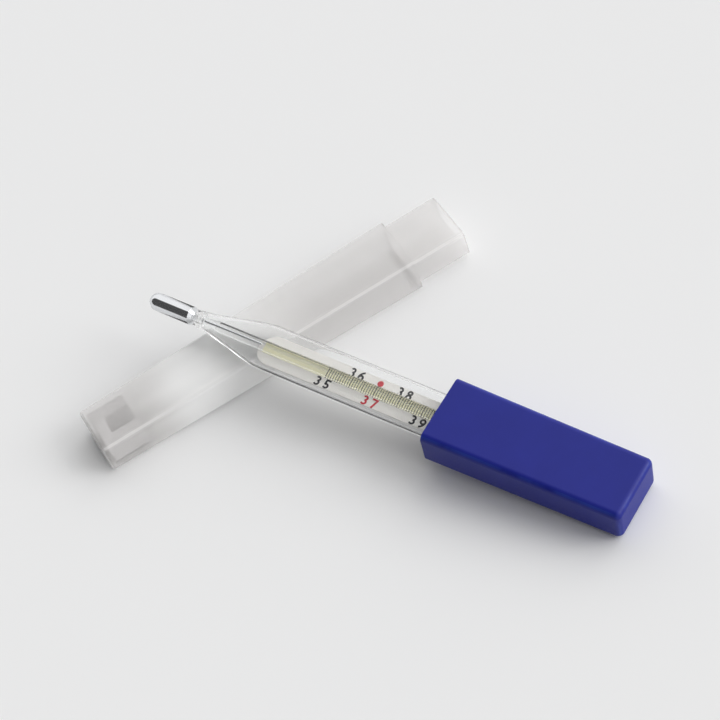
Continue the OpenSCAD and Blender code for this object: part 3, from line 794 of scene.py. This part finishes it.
def makePlug():
    s = plugShape
    wide, thick, soft = s["wide"], s["thick"], s["soft"]
    turns = [math.radians(turn) for turn in s["softTurns"]]
    drops = [(soft * (1 - math.sin(a)), soft * (1 - math.cos(a))) for a in turns]
    lower = [(s["start"] + rise, wide - inset, thick - inset) for rise, inset in drops]
    upper = [(s["start"] + s["end"] - x, w, t) for x, w, t in lower[::-1]]
    dimple = [(s["end"] - s["dimpleRim"], wide * s["dimple"], thick * s["dimple"]),
              (s["end"] - s["dimpleDeep"], 0, 0)]
    piece = drawTube("topPlug", [(s["start"], 0, 0)] + lower + upper + dimple, s["sides"])
    layDown(piece)
    settle(piece, "glass", "soft_plug", softSilicone("plugSilicone"), "top_plug")


makeCase()
makeBumper()
makeCap()
makeSleeve()
makeSheath()
makeBulb()
makeFilling()
makeThread()
makeCapillary()
makePlate()
makePlug()


# Printed marks and the pin keep their solids and get their finish

printed = {"color_strip": yellowEnamel(), "degree_lines": blackFinish, "half_degree_lines": blackFinish,
           "tenth_lines": blackFinish, "black_numerals": blackFinish, "red_numerals": redFinish,
           "normal_dot": redFinish, "constriction_pin": tubeFinish}
for name, finish in printed.items():
    node = frame["nodes"][name]
    node.data.materials.clear()
    node.data.materials.append(finish)
print("dressed:", ", ".join(printed))


# Floor, light and camera

stageLook = {"floor": (0.89, 0.891, 0.893), "floorSize": 4.0, "floorAt": -0.2, "floorCloud": 9,
             "floorDim": 0.99, "floorRough": 0.9, "bright": 1.28, "dim": 0.1, "dimSide": (-0.89, -0.08, 0.45),
             "dimMask": (0.43, 0.55)}
lamps = {
    "overhead": {"place": (0.6, 0.15, 0.6), "spread": 40, "power": 0.42},
    "side": {"place": (0.74, -0.47, 0.47), "spread": 34, "power": 1.15},
}
photoView = {"target": (12.94, -16.71, 0), "azimuth": -11.32, "elevation": 51.54, "roll": -22.45,
             "distance": 496.85, "lens": 105.6, "clip": 0.01}


def makeFloor():
    look = stageLook
    clearSelection()
    bpy.ops.mesh.primitive_plane_add(size=look["floorSize"], location=(0, 0, look["floorAt"] * mm))
    floor = nameNew("floor")
    f = Finish("floorPaper")
    cloud = f.noise(f.place(), look["floorCloud"], detail=2)
    shade = [c * look["floorDim"] for c in look["floor"]]
    paper = f.surface(Base_Color=f.mix(cloud, shade, look["floor"]), Roughness=look["floorRough"])
    floor.data.materials.append(paper)


def makeLight():
    look = stageLook
    room = Finish("studio", bpy.data.worlds)
    towards = room.add("ShaderNodeTexCoord")["Generated"]
    sides = {0: towards, 1: look["dimSide"]}
    lean = room.add("ShaderNodeVectorMath", {"operation": "DOT_PRODUCT"}, sides)["Value"]
    dim = room.ramp(lean, *look["dimMask"])  # the open side of the room
    level = look["bright"] + dim * (look["dim"] - look["bright"])
    glow = room.add("ShaderNodeBackground", {}, {"Strength": level})["Background"]
    room.add("ShaderNodeOutputWorld", {}, {"Surface": glow})
    bpy.context.scene.world = room.owner
    for name, lamp in lamps.items():
        clearSelection()
        bpy.ops.object.light_add(type="SUN", location=lamp["place"])
        light = bpy.context.object
        light.name = name
        light.data.angle = math.radians(lamp["spread"])  # broad and soft, and even over the floor
        light.data.energy = lamp["power"]
        light.rotation_euler = Vector(lamp["place"]).to_track_quat("Z", "Y").to_euler()


def makeCamera():
    v = photoView
    azimuth, elevation, roll = (math.radians(v[k]) for k in ("azimuth", "elevation", "roll"))
    level = Vector((math.cos(azimuth), math.sin(azimuth), 0))
    back = Vector((math.sin(azimuth), -math.cos(azimuth), 0)) * math.cos(elevation)
    back.z = math.sin(elevation)
    upright = back.cross(level)
    right = level * math.cos(roll) + upright * math.sin(roll)
    top = upright * math.cos(roll) - level * math.sin(roll)
    data = bpy.data.cameras.new("photoView")
    data.lens = v["lens"]
    data.clip_start = v["clip"]
    camera = bpy.data.objects.new("photoView", data)
    bpy.context.collection.objects.link(camera)
    turned = Matrix((right, top, back)).transposed().to_4x4()
    turned.translation = (Vector(v["target"]) + back * v["distance"]) * mm
    camera.matrix_world = turned
    bpy.context.scene.camera = camera


makeFloor()
makeLight()
makeCamera()
bpy.context.scene.view_settings.view_transform = "Standard"
print("stage: floor,", len(lamps), "lamps, camera")
